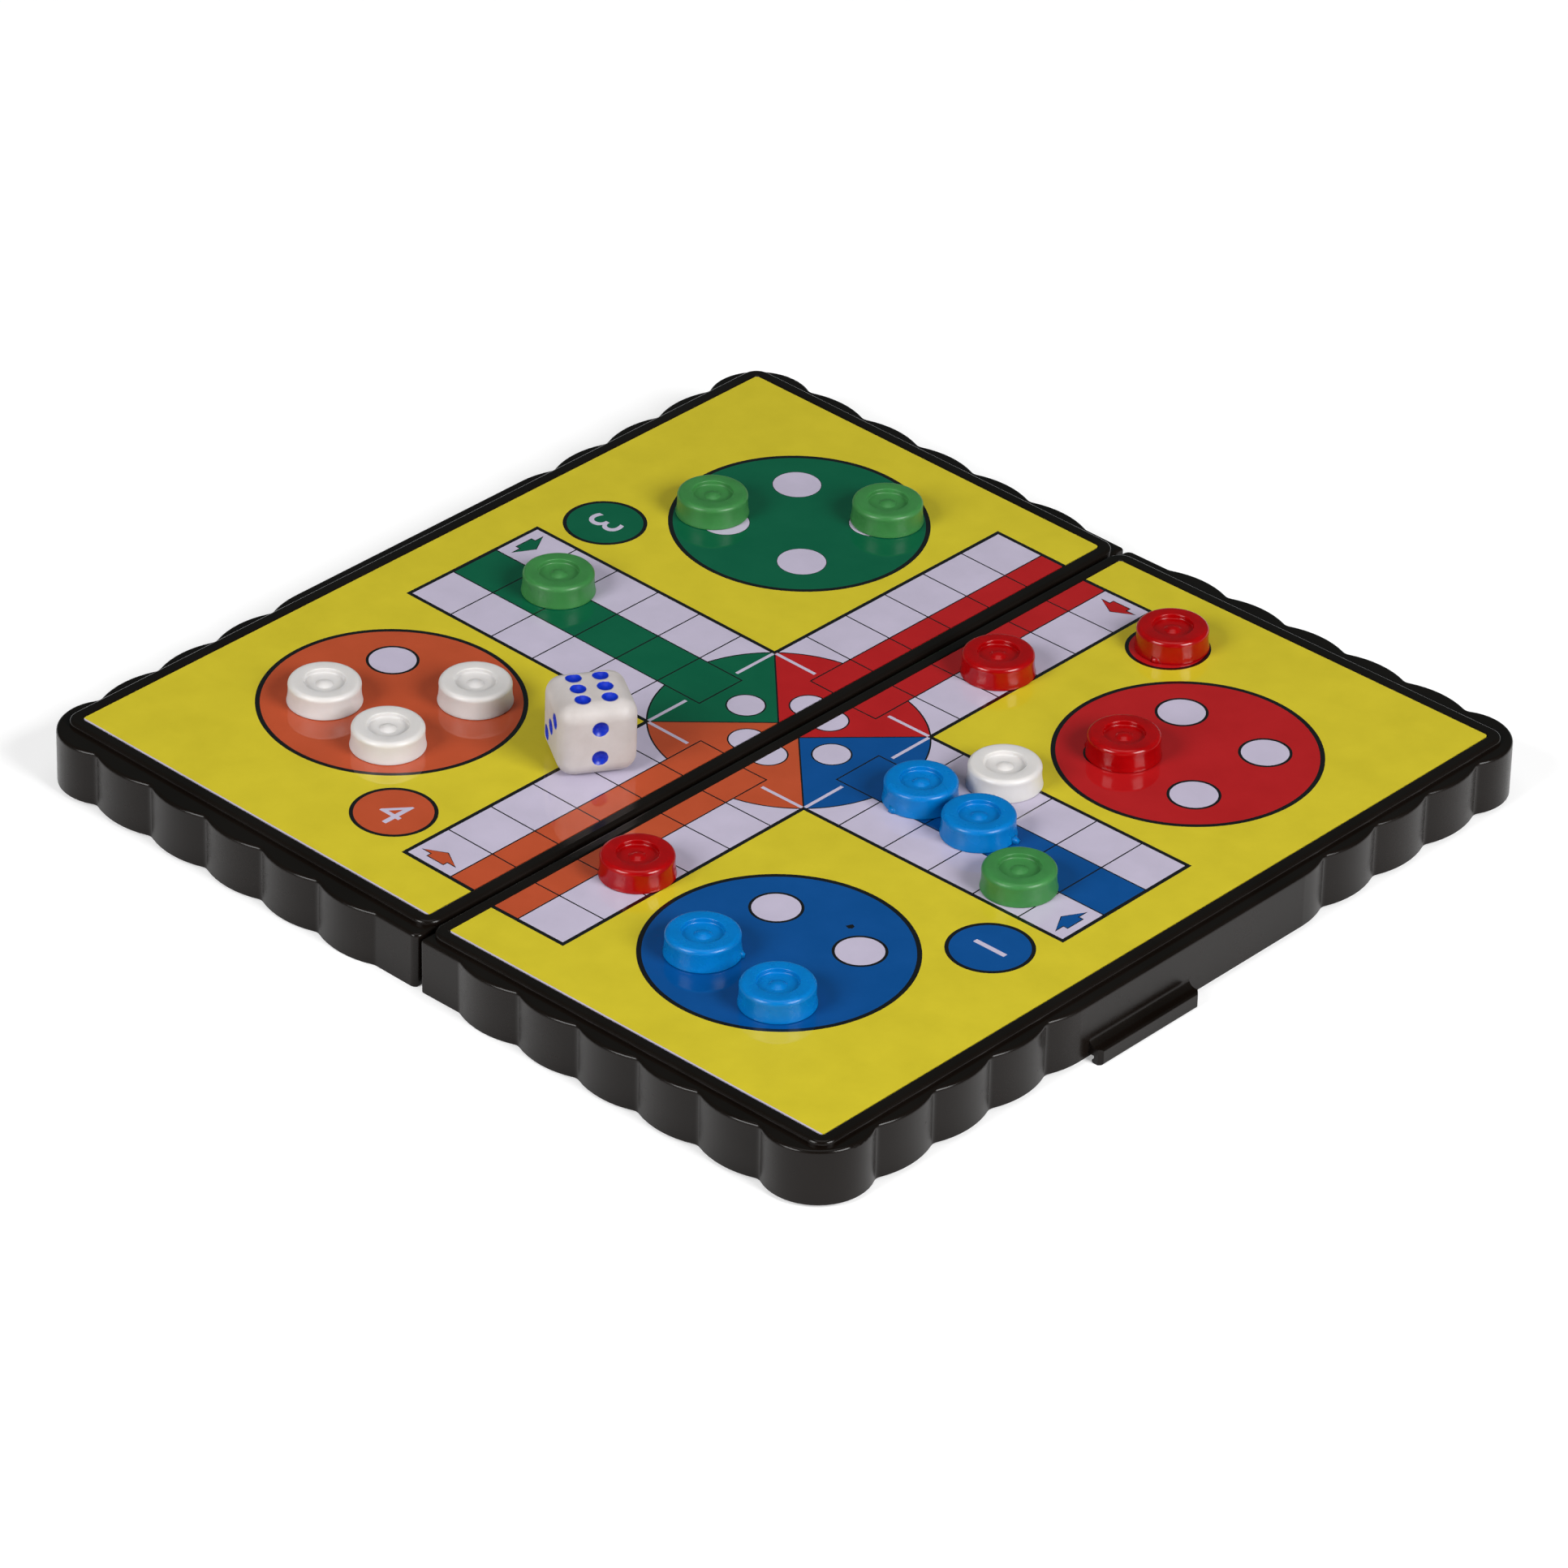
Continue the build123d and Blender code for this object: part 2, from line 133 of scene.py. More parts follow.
def moulded_black(name, polish):
    """Black polystyrene: grained on its walls, and polished on what faces up, to the given roughness."""
    material, tree, shader, space = new_finish(name, {"Specular IOR Level": 0.19, "IOR": 1.5})
    grain = speckle(tree, space, wall_grain, detail=3.0)
    flow = speckle(tree, space, flow_length, stretch=flow_stretch)
    tone = blended(tree, spread(tree, flow, 0, 1), seen(15, 10, 7), seen(20, 15, 12))
    tree.links.new(tone, shader.inputs["Base Color"])
    facing = add_node(tree, "ShaderNodeSeparateXYZ", {"Vector": space.outputs["Normal"]})
    upward = spread(tree, facing.outputs["Z"], 0, 1, polish_begins, polish_full)
    rough = spread(tree, upward, wall_roughness, polish, 0, 1)
    scuffs = speckle(tree, space, scuff_size, detail=4.0)
    # Two noises added together mostly lie between 0.7 and 1.3
    uneven = spread(tree, worked_out(tree, "ADD", flow, scuffs), smoothest_change, roughest_change, 0.7, 1.3)
    tree.links.new(worked_out(tree, "ADD", rough, uneven), shader.inputs["Roughness"])
    textured = worked_out(tree, "SUBTRACT", 1.0, upward)
    raised(tree, shader, worked_out(tree, "MULTIPLY", grain, textured), wall_relief)
    return material


def finish_node(node, material):
    """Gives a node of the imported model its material."""
    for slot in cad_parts[node].material_slots:
        slot.material = material


case_black = moulded_black("case_black", polished_roughness)
for side in ("west", "east"):
    finish_node(f"case_half_{side}", case_black)

# Hinge links and pins. Each link is a short dog-bone moulded in the same black plastic, which turns
# on two lengths of drawn steel wire. The wires are snapped into ears behind the seam walls.
link_roughness = 0.3
wire_roughness = 0.22
wire_line = 0.15 * MM
wire_stretch = (1, 0.05, 1)      # the wires were drawn along the seam
steel_change = 0.15              # of the roughness, from line to line
steel_relief = 0.002 * MM


def drawn_steel(name, colour, roughness, line, stretch):
    """Bare steel with fine lines along the way that it was drawn or rolled."""
    material, tree, shader, space = new_finish(name, {"Metallic": 1.0})
    lines = speckle(tree, space, line, stretch=stretch)
    tone = blended(tree, spread(tree, lines, 0, 1), colour, seen(205, 205, 208))
    tree.links.new(tone, shader.inputs["Base Color"])
    tree.links.new(spread(tree, lines, roughness, roughness + steel_change), shader.inputs["Roughness"])
    raised(tree, shader, lines, steel_relief)
    return material


link_black = moulded_black("link_black", link_roughness)
wire_steel = drawn_steel("wire_steel", seen(168, 168, 172), wire_roughness, wire_line, wire_stretch)
for end in ("front", "back"):
    finish_node(f"hinge_link_{end}", link_black)
    for side in ("west", "east"):
        finish_node(f"hinge_pin_{side}_{end}", wire_steel)

# Steel plates. Each is a sheet of thin tinplate laid in the recess of a half, so that the counters'
# magnets cling through the printed sheet over it.
plate_roughness = 0.35
plate_line = 0.4 * MM
plate_stretch = (1, 0.04, 1)     # the plates were rolled along the seam
tinplate = drawn_steel("tinplate", seen(175, 176, 178), plate_roughness, plate_line, plate_stretch)
for side in ("west", "east"):
    finish_node(f"steel_plate_{side}", tinplate)

# Printed boards. A paper sheet under clear glossy film is glued on each plate, and the two together
# show the cross of a ludo board. All the colours lie in one surface, so the outlines of everything
# printed are worked into one flat mesh, and each part of it takes the ink that was printed last.
bead_width = 1.72                # seam face of a half to its sheet
sheet_width = 59.9
sheet_length = 120.0
sheet_corner = 0.5
sheet_corner_steps = 8
sheet_middle = -0.35             # middle of the sheet along the seam, from that of the half
sheet_edge = 0.05                # sheet to the edge of its recess
film_top = 8.0                   # above the rim of the half
sheet_thickness = 0.15
seam_gap = 0.8
hook_drop = 0.64                 # end of the latch hook below the rim
hook_reach = 65.9                # seam face to the hook
lean = asin(hook_drop / hypot(hook_reach, hook_drop))
# How far each print lies off its place, across and along, and its turn as a slope
print_shift = {"east": (0.0, -0.09, 0.0033), "west": (0.0, 0.67, -0.0023)}
bare_edge = 0.25                 # strip along one end that the ink misses
past_sheet = 70                  # from the seam face to beyond the sheet

arm_half = 11.37                 # half the width of an arm and of the middle square
arm_end = 52.85                  # middle of the board to the end of an arm
columns = 3
rows = 5
row_length = 7.17
arm_line = 0.56
cell_line = 0.2
home_end = 9.8                   # inner end of a home column
circle_radius = 16.03
diagonal_line = 0.2
square_line = 0.48               # white lines on the sides of the middle square
square_line_start = 0.7          # from the edge of the home column
square_line_end = 0.25           # from the corner of the square
home_spot_place = 5.5
home_spot_radius = 2.53
base_place = (36.33, 30.6)       # along and across, from the middle
base_radius = 16.75
base_line = 0.6
dot_place = 6.7
dot_radius = 3.15                # to the middle of its outline
dot_lines = {"blue": 0.36, "red": 0.36, "green": 0.08, "orange": 0.36}
start_place = (18.45, 47.75)
start_radius = 5.39
start_line = 0.5
start_figure = 5.0               # height of the number in each start spot
type_size = 1.4                  # of a figure that is 1 high
figure_steps = 6                 # along each curve of a figure
least_area = 1e-5
arrow_tip = 3.5                  # from the end of the arm inwards
arrow_shoulder = 2.1
arrow_foot = 1.42
arrow_half = 2.63
arrow_stem_half = 1.3
arrow_line = 0.15
large_corners = 144              # corners of the large circles
slice_corners = 24
inside_outlines = 1              # the kind of result asked of the triangulation
merging_distance = 1e-5

ink_colours = {
    "yellow": seen(195, 179, 36),
    "white": seen(183, 175, 195),
    "blue": seen(0, 68, 132),
    "red": seen(164, 17, 20),
    "green": seen(0, 84, 55),
    "orange": seen(173, 71, 37),
    "black": seen(12, 8, 8),
}
ink_names = list(ink_colours)
arm_inks = ["blue", "red", "green", "orange"]
ink_cloud = 5 * MM
ink_tooth = 0.16 * MM
ink_paler = 1.05
ink_haze = 0.002
ink_deeper = 0.94
film_wave = 9 * MM
film_relief = 0.003 * MM


def block(low_x, low_y, high_x, high_y):
    """Corners of a rectangle."""
    return [(low_x, low_y), (high_x, low_y), (high_x, high_y), (low_x, high_y)]


def disc(x, y, radius, corners=72):
    """Corners of a circle."""
    turn = 2 * pi / corners
    return [(x + radius * cos(turn * step), y + radius * sin(turn * step)) for step in range(corners)]


def slice_of_circle(radius):
    """Quarter of the middle circle that faces along the arm."""
    turn = pi / 2 / slice_corners
    angles = [turn * step - pi / 4 for step in range(slice_corners + 1)]
    return [(0, 0)] + [(radius * cos(angle), radius * sin(angle)) for angle in angles]


def turned(points, quarter):
    """Points turned by quarter turns about the middle of the board."""
    for _ in range(quarter):
        points = [(-y, x) for x, y in points]
    return points


def new_tree(name, sizes):
    """An empty tree of geometry nodes with one named input for each size."""
    tree = bpy.data.node_groups.new(name, "GeometryNodeTree")
    for size, kind in sizes.items():
        tree.interface.new_socket(size, in_out="INPUT", socket_type=f"NodeSocket{kind}")
    tree.interface.new_socket("Geometry", in_out="OUTPUT", socket_type="NodeSocketGeometry")
    return tree, tree.nodes.new("NodeGroupInput").outputs, tree.nodes.new("NodeGroupOutput").inputs


def finish_tree(tree, leave, geometry, material):
    """Ends a tree with real geometry in one material."""
    real = add_node(tree, "GeometryNodeRealizeInstances", {"Geometry": geometry})
    dressed = add_node(tree, "GeometryNodeSetMaterial", {"Geometry": real.outputs["Geometry"]})
    dressed.inputs["Material"].default_value = material
    tree.links.new(dressed.outputs["Geometry"], leave["Geometry"])


def grown(tree, sizes):
    """The plain mesh that a tree makes at the given sizes."""
    holder = bpy.data.objects.new(tree.name, bpy.data.meshes.new(tree.name))
    bpy.context.collection.objects.link(holder)
    modifier = holder.modifiers.new(tree.name, "NODES")
    modifier.node_group = tree
    for entry in tree.interface.items_tree:
        if entry.in_out == "INPUT":
            modifier[entry.identifier] = sizes[entry.name]
    bpy.context.view_layer.update()
    finished = holder.evaluated_get(bpy.context.evaluated_depsgraph_get())
    mesh = bpy.data.meshes.new_from_object(finished)
    holder.modifiers.remove(modifier)
    bpy.data.objects.remove(holder)
    return mesh


def strips(tree, count, start, step, length, width):
    """Flat strips in a line: how many, where the first lies, the step to the next, and their size."""
    places = add_node(tree, "GeometryNodeMeshLine", {
        "Count": count,
        "Start Location": add_node(tree, "ShaderNodeCombineXYZ", start).outputs["Vector"],
        "Offset": add_node(tree, "ShaderNodeCombineXYZ", step).outputs["Vector"],
    })
    strip = add_node(tree, "GeometryNodeMeshGrid", {
        "Size X": length, "Size Y": width, "Vertices X": 2, "Vertices Y": 2,
    })
    copies = add_node(tree, "GeometryNodeInstanceOnPoints", {
        "Points": places.outputs["Mesh"], "Instance": strip.outputs["Mesh"],
    })
    return copies.outputs["Instances"]


def printed_ink(name):
    """Ink under glossy film: slightly mottled colour, and a film that isn't quite flat."""
    colour = ink_colours[name]
    material, tree, shader, space = new_finish(f"ink_{name}", {
        "Roughness": 0.5, "Specular IOR Level": 0.04, "Coat Weight": 1.0, "Coat Roughness": 0.03,
        "Coat IOR": 1.5,
    })
    cloud = speckle(tree, space, ink_cloud, detail=3.0)
    tooth = speckle(tree, space, ink_tooth, detail=1.0)
    paler = tuple(min(1.0, part * ink_paler + ink_haze) for part in colour[:3]) + (1.0,)
    deeper = tuple(part * ink_deeper for part in colour[:3]) + (1.0,)
    clouded = blended(tree, spread(tree, cloud, 0, 1), deeper, paler)
    fine = blended(tree, spread(tree, tooth, 0, 0.5), clouded, colour)
    tree.links.new(fine, shader.inputs["Base Color"])
    raised(tree, shader, speckle(tree, space, film_wave, detail=1.0), film_relief, "Coat Normal")
    return material


inks = {name: printed_ink(name) for name in ink_names}

# The thin lines between the cells of one arm: strips across it at each row, and along it at each column
cell_tree, size, leave = new_tree("cell_lines", {
    "Rows": "Int", "Row Length": "Float", "Column Width": "Float", "Arm End": "Float", "Line": "Float",
    "Columns": "Int",
})
row_offset = worked_out(cell_tree, "MULTIPLY", size["Row Length"], -1.0)
first_row = worked_out(cell_tree, "ADD", size["Arm End"], row_offset)
arm_width = worked_out(cell_tree, "MULTIPLY", size["Columns"], size["Column Width"])
arm_length = worked_out(cell_tree, "MULTIPLY", size["Rows"], size["Row Length"])
row_strips = strips(cell_tree, size["Rows"], {"X": first_row}, {"X": row_offset}, size["Line"], arm_width)
column_count = worked_out(cell_tree, "SUBTRACT", size["Columns"], 1.0)
half_back = worked_out(cell_tree, "MULTIPLY", arm_length, -0.5)
column_start = {
    "X": worked_out(cell_tree, "ADD", size["Arm End"], half_back),
    "Y": worked_out(cell_tree, "MULTIPLY", size["Column Width"], -0.5),
}
column_step = {"Y": size["Column Width"]}
column_strips = strips(cell_tree, column_count, column_start, column_step, arm_length, size["Line"])
both_strips = add_node(cell_tree, "GeometryNodeJoinGeometry")
for strip_set in (row_strips, column_strips):
    cell_tree.links.new(strip_set, both_strips.inputs["Geometry"])
finish_tree(cell_tree, leave, both_strips.outputs["Geometry"], inks["black"])
cell_mesh = grown(cell_tree, {
    "Rows": rows, "Row Length": row_length, "Column Width": 2 * arm_half / columns, "Arm End": arm_end,
    "Line": cell_line, "Columns": columns,
})
cell_lines = [
    [tuple(cell_mesh.vertices[corner].co.xy) for corner in face.vertices] for face in cell_mesh.polygons
]

# Everything printed, in the order of printing, as pairs of ink and outline about the board's middle
marks = []


def printed(ink, outline, quarter=0):
    """Prints an outline in one quarter of the board."""
    marks.append((ink, turned(outline, quarter)))


def ringed(ink, x, y, radius, line, quarter, corners=72):
    """Prints a disc with a black outline inside its edge."""
    printed("black", disc(x, y, radius, corners), quarter)
    printed(ink, disc(x, y, radius - line, corners), quarter)


column_half = arm_half / columns
cells_end = arm_end - rows * row_length
edge = cell_line / 2
lane = -2 * column_half          # middle of the column that the arrow stands in
for quarter in range(4):
    for ink, past in (("black", arm_line / 2), ("white", -arm_line / 2)):
        side = arm_half + past
        printed(ink, block(arm_half / 2, -side, arm_end + past, side), quarter)
for quarter, ink in enumerate(arm_inks):
    printed(ink, block(arm_half, -column_half, arm_end - arm_line / 2, column_half), quarter)
    for strip in cell_lines:
        printed("black", strip, quarter)
printed("black", disc(0, 0, circle_radius + cell_line, large_corners))
for quarter, ink in enumerate(arm_inks):
    printed(ink, slice_of_circle(circle_radius), quarter)
reach = circle_radius / sqrt(2)
step = diagonal_line / 2 / sqrt(2)
for quarter in range(2):
    printed("black", [
        (-reach - step, -reach + step), (-reach + step, -reach - step),
        (reach + step, reach - step), (reach - step, reach + step),
    ], quarter)
for quarter, ink in enumerate(arm_inks):
    for side in (-1, 1):
        ends = (side * (column_half + square_line_start), side * (arm_half - square_line_end))
        line = block(arm_half - square_line / 2, min(ends), arm_half + square_line / 2, max(ends))
        printed("white", line, quarter)
    printed("black", block(home_end - edge, -column_half - edge, cells_end, column_half + edge), quarter)
    printed(ink, block(home_end + edge, -column_half + edge, cells_end - edge, column_half - edge), quarter)
    ringed("white", home_spot_place, 0, home_spot_radius, cell_line, quarter)
    base_x, base_y = base_place[1], -base_place[0]
    ringed(ink, base_x, base_y, base_radius, base_line, quarter, large_corners)
    for dot_x in (base_x - dot_place, base_x + dot_place):
        for dot_y in (base_y - dot_place, base_y + dot_place):
            printed("black", disc(dot_x, dot_y, dot_radius + dot_lines[ink] / 2), quarter)
            printed("white", disc(dot_x, dot_y, dot_radius - dot_lines[ink] / 2), quarter)
    ringed(ink, start_place[1], -start_place[0], start_radius, start_line, quarter)
    for grow, arrow_ink in ((arrow_line, "black"), (0.0, ink)):
        printed(arrow_ink, [
            (arm_end - arrow_tip - grow, lane),
            (arm_end - arrow_shoulder + grow, lane - arrow_half - 2 * grow),
            (arm_end - arrow_shoulder + grow, lane - arrow_stem_half - grow),
            (arm_end - arrow_foot + grow, lane - arrow_stem_half - grow),
            (arm_end - arrow_foot + grow, lane + arrow_stem_half + grow),
            (arm_end - arrow_shoulder + grow, lane + arrow_stem_half + grow),
            (arm_end - arrow_shoulder + grow, lane + arrow_half + 2 * grow),
        ], quarter)

# A scrape in the ink of one base, from wear
scrape = [(32.4, -26.8), (33.0, -27.0), (33.4, -26.7), (33.3, -26.2), (32.8, -26.0), (32.6, -26.4)]
printed("black", scrape)


def numeral(figure, height):
    """Triangles of one figure of the given height, centred on the origin."""
    curve = bpy.data.curves.new(f"figure_{figure}", "FONT")
    curve.body = str(figure)
    curve.size = height * type_size
    curve.resolution_u = figure_steps
    holder = bpy.data.objects.new(f"figure_{figure}", curve)
    bpy.context.collection.objects.link(holder)
    bpy.context.view_layer.update()
    mesh = bpy.data.meshes.new_from_object(holder.evaluated_get(bpy.context.evaluated_depsgraph_get()))
    bpy.data.objects.remove(holder)
    flat = [vertex.co.xy for vertex in mesh.vertices]
    middle_x = (min(point.x for point in flat) + max(point.x for point in flat)) / 2
    middle_y = (min(point.y for point in flat) + max(point.y for point in flat)) / 2
    # Triangles without an area are left out, because they would let the ink run past the figure
    return [
        [(flat[corner].x - middle_x, flat[corner].y - middle_y) for corner in face.vertices]
        for face in mesh.polygons if face.area > least_area
    ]


for quarter in range(4):
    for triangle in numeral(quarter + 1, start_figure):
        printed("white", [(start_place[1] - y, x - start_place[0]) for x, y in triangle], quarter)


def half_place(side):
    """Where the flat frame of a half lies on the table, in metres."""
    turn = 0 if side == "east" else pi
    slide = Matrix.Translation((seam_gap / 2, 0, 0))
    place = Matrix.Rotation(turn, 4, "Z") @ slide @ Matrix.Rotation(-lean, 4, "Y")
    return Matrix.Scale(MM, 4) @ place


def sheet_outline():
    """Outline of one sheet in the flat frame of its half, with rounded corners."""
    low_x = bead_width + sheet_edge
    high_x = bead_width + sheet_width - sheet_edge
    low_y = sheet_middle - sheet_length / 2 + sheet_edge
    high_y = sheet_middle + sheet_length / 2 - sheet_edge
    points = []
    for corner, (x, y) in enumerate(((high_x, high_y), (low_x, high_y), (low_x, low_y), (high_x, low_y))):
        middle_x = x - sheet_corner * (1 if x == high_x else -1)
        middle_y = y - sheet_corner * (1 if y == high_y else -1)
        for step in range(sheet_corner_steps + 1):
            angle = (corner + step / sheet_corner_steps) * pi / 2
            points.append((middle_x + sheet_corner * cos(angle), middle_y + sheet_corner * sin(angle)))
    return points


def on_sheet(side, point):
    """A point of the printed layout, in the flat frame of the half that carries it."""
    shift_x, shift_y, slope = print_shift[side]
    x = point[0] + shift_x - point[1] * slope
    y = point[1] + shift_y + point[0] * slope
    return (bead_width + x, y) if side == "east" else (bead_width - x, -y)


def new_piece(name, mesh, materials):
    """An object in the scene with a finished mesh and its materials."""
    data = bpy.data.meshes.new(name)
    mesh.to_mesh(data)
    mesh.free()
    for material in materials:
        data.materials.append(material)
    piece = bpy.data.objects.new(name, data)
    bpy.context.collection.objects.link(piece)
    return piece


def printed_board(side):
    """One printed sheet as a thin closed slab, its upper face divided among the inks."""
    sign = 1 if side == "east" else -1
    bare_y = sheet_middle - sign * sheet_length / 2
    bare_end = bare_y + sign * bare_edge
    bare = block(0, min(bare_y, bare_end), past_sheet, max(bare_y, bare_end))
    shapes = [("yellow", sheet_outline()), ("white", bare)]
    shapes += [(ink, [on_sheet(side, point) for point in points]) for ink, points in marks]
    corners, faces = [], []
    for _, points in shapes:
        faces.append(list(range(len(corners), len(corners) + len(points))))
        corners += [Vector(point) for point in points]
    flat, _, parts, _, _, sources = delaunay_2d_cdt(corners, [], faces, inside_outlines, merging_distance)
    mesh = bmesh.new()
    top = [mesh.verts.new((point.x, point.y, film_top)) for point in flat]
    for part, source in zip(parts, sources):
        if 0 in source:
            face = mesh.faces.new([top[corner] for corner in part])
            face.material_index = ink_names.index(shapes[max(source)][0])
    bmesh.ops.delete(mesh, geom=[vert for vert in mesh.verts if not vert.link_faces], context="VERTS")
    rim = [edge for edge in mesh.edges if len(edge.link_faces) == 1]
    skirt = bmesh.ops.extrude_edge_only(mesh, edges=rim)["geom"]
    for item in skirt:
        if isinstance(item, bmesh.types.BMVert):
            item.co.z -= sheet_thickness
    foot = [edge for edge in mesh.edges if len(edge.link_faces) == 1]
    closed = bmesh.ops.contextual_create(mesh, geom=foot)["faces"]
    sides = [item for item in skirt if isinstance(item, bmesh.types.BMFace)]
    for face in sides:
        above = [other for edge in face.edges for other in edge.link_faces if other not in sides]
        face.material_index = max(other.material_index for other in above if other not in closed)
    for face in closed:
        face.material_index = ink_names.index("white")
    bmesh.ops.recalc_face_normals(mesh, faces=mesh.faces)
    bmesh.ops.transform(mesh, matrix=half_place(side), verts=mesh.verts)
    piece = new_piece(f"printed_sheet_{side}", mesh, inks.values())
    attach(piece, f"case_{side}")
    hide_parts(f"board_print_{side}")


for side in ("west", "east"):
    printed_board(side)

# Counters. Sixteen solid plastic pieces, four of each colour, moulded in one multi-cavity tool: a drum
# with a rounded shoulder, a dished top and a small dome, and a disc magnet in a pocket below. Gate
# stubs are left at the foot of some, where they were broken off the runner.
counter_height = 3.0
foot_radius = 4.72
foot_round = 0.12
waist_radius = 4.52
waist_height = 1.9
shoulder_radius = 4.55
shoulder_round = 0.6
side_steps = 8
dish_radius = 2.6
dish_depth = 0.62
dish_round = 0.12                # at the upper edge
dish_corner = 0.18               # at the floor
dome_radius = 1.1
dome_height = 0.42
dome_edge = 0.04                 # of flat floor round the dome
dome_steps = 8
pocket_radius = 2.6
pocket_depth = 1.3
pocket_chamfer = 0.08
standing_gap = 0.02
turning_steps = 96
seam_merge = 0.0005
counter_places = {
    "green": [(-42.2, 31.1), (-25.3, 45.7), (-42.4, 3.3), (43.5, -6.2)],
    "white": [(-44.3, -35.6), (-31.7, -37.1), (-31.5, -22.3), (26.9, 9.8)],
    "red": [(9.2, -35.8), (9.1, 28.5), (20.4, 48.4), (32.7, 25.1)],
    "blue": [(26.4, -42.6), (39.9, -44.2), (22.1, 0.0), (32.1, -0.7)],
}
# Direction of each gate stub on the table, in degrees from +X, and its reach past the foot
gate_stubs = {
    ("blue", 1): (35, 0.3), ("blue", 2): (160, 0.55), ("blue", 3): (265, 0.25), ("blue", 4): (20, 0.6),
    ("red", 3): (285, 0.2), ("green", 2): (300, 0.25), ("red", 4): (200, 0.3),
}
# Corners of the torn wedge: outwards from the foot for its root and from its reach for its tip, then
# along the foot, then up
stub_root = [(-0.35, -1.0, 0.0), (-0.35, 0.9, 0.0), (-0.35, -0.7, 0.95), (-0.35, 0.55, 0.8)]
stub_tip = [(0.0, -0.45, 0.05), (0.0, 0.3, 0.08), (-0.05, -0.3, 0.42)]
plastic_cloud = 2.6 * MM
plastic_grain = 0.12 * MM
plastic_smoother = -0.04         # change of the roughness across the clouds
plastic_rougher = 0.05
ferrite_grain = 0.1 * MM
ferrite_relief = 0.01 * MM


def arc(centre, radius, first, last, steps):
    """Points of an arc about a centre, between two angles in degrees."""
    points = []
    for step in range(steps + 1):
        angle = radians(first + (last - first) * step / steps)
        points.append((centre[0] + radius * cos(angle), centre[1] + radius * sin(angle)))
    return points


def counter_profile():
    """Section of a counter as (radius, height), from the pocket's roof round to the top of the dome."""
    floor = counter_height - dish_depth
    side_top = counter_height - shoulder_round
    points = [(0, pocket_depth), (pocket_radius, pocket_depth)]
    points += [(pocket_radius, pocket_chamfer), (pocket_radius + pocket_chamfer, 0)]
    points += arc((foot_radius - foot_round, foot_round), foot_round, -90, 0, steps=4)
    for step in range(1, side_steps):
        height = foot_round + (side_top - foot_round) * step / side_steps
        if height < waist_height:
            share = height / waist_height
            radius = foot_radius + (waist_radius - foot_radius) * (2 * share - share**2)
        else:
            share = (height - waist_height) / (side_top - waist_height)
            radius = waist_radius + (shoulder_radius - waist_radius) * share**2
        points.append((radius, height))
    points += arc((shoulder_radius - shoulder_round, side_top), shoulder_round, 0, 90, steps=10)
    points += arc((dish_radius + dish_round, counter_height - dish_round), dish_round, 90, 180, steps=4)
    points += arc((dish_radius - dish_corner, floor + dish_corner), dish_corner, 0, -90, steps=4)
    points.append((dome_radius + dome_edge, floor))
    ball = (dome_radius**2 + dome_height**2) / (2 * dome_height)
    for step in range(dome_steps + 1):
        angle = asin(dome_radius / ball) * (1 - step / dome_steps)
        points.append((ball * sin(angle), floor + dome_height - ball * (1 - cos(angle))))
    return points


def board_place(place, turn=0.0):
    """Upright on the print of the half at a place on the open board, as a frame in metres."""
    across, along = place
    side = "east" if across > 0 else "west"
    sign = 1 if across > 0 else -1
    from_seam = (abs(across) - seam_gap / 2 + film_top * sin(lean)) / cos(lean)
    own_turn = turn if across > 0 else turn + pi
    at = Matrix.Translation((from_seam, sign * along, film_top + standing_gap))
    return half_place(side) @ at @ Matrix.Rotation(own_turn, 4, "Z"), side


def gate_stub(mesh, angle, reach):
    """Torn stub of plastic at the foot, a low wedge that comes to a ragged point."""
    out = Vector((cos(angle), sin(angle), 0))
    along = Vector((-sin(angle), cos(angle), 0))
    verts = []
    for start, corners in ((foot_radius, stub_root), (foot_radius + reach, stub_tip)):
        for outwards, sideways, up in corners:
            point = out * (start + outwards) + along * sideways + Vector((0, 0, up))
            verts.append(mesh.verts.new(point))
    bmesh.ops.convex_hull(mesh, input=verts)


def counter_plastic(name, colour, values, cloud_tone, relief):
    """Moulded plastic that light enters a little way: clouded colour, faint flow marks and fine grain."""
    material, tree, shader, space = new_finish(name, values)
    cloud = speckle(tree, space, plastic_cloud, detail=3.0)
    grain = speckle(tree, space, plastic_grain)
    deep = tuple(part * cloud_tone for part in colour[:3]) + (1.0,)
    tone = blended(tree, spread(tree, cloud, 0, 1), deep, colour)
    tree.links.new(tone, shader.inputs["Base Color"])
    rough = values["Roughness"]
    uneven = spread(tree, cloud, rough + plastic_smoother, rough + plastic_rougher)
    tree.links.new(uneven, shader.inputs["Roughness"])
    raised(tree, shader, grain, relief)
    return material


